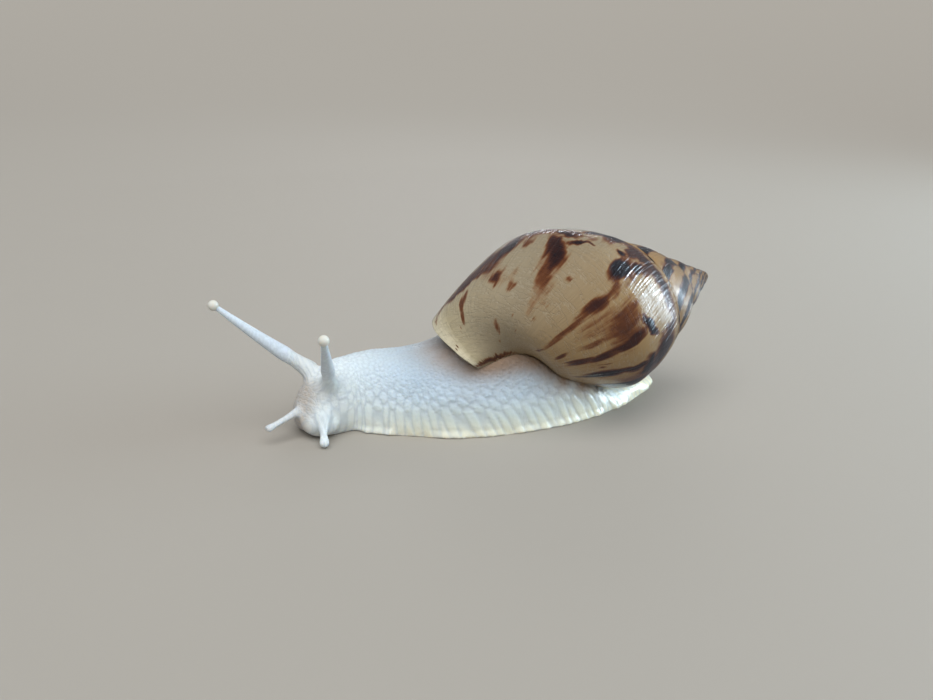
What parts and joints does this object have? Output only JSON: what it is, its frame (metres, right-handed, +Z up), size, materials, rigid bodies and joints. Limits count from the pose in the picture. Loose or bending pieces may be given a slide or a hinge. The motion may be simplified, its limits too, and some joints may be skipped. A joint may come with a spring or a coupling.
{
  "type": "giant african land snail",
  "caption": "Life-size still model of a crawling giant African land snail: pale body on its flat sole, tentacles out, tall spiral shell with dark flame markings.",
  "frame": {"origin": "on the flat sole of the foot, at the ground, near the middle of the animal", "axes": "+Z up, body along X with the head toward -X and the shell's apex toward +X, +Y the animal's right side"},
  "size_m": [0.0984, 0.0347, 0.0348],
  "materials": {
    "shell": "glossy",
    "mantle": "moist",
    "skin": "moist, finely wrinkled",
    "eye": "glossy"
  },
  "bodies": {
    "root": {"shell": "shell", "mantle": "mantle", "head": "skin", "neck": "skin", "foot": "skin", "tail": "skin", "upper_tentacle_right": "skin", "upper_tentacle_left": "skin", "lower_tentacle_right": "skin", "lower_tentacle_left": "skin", "eye_right": "eye", "eye_left": "eye"}
  },
  "joints": []
}
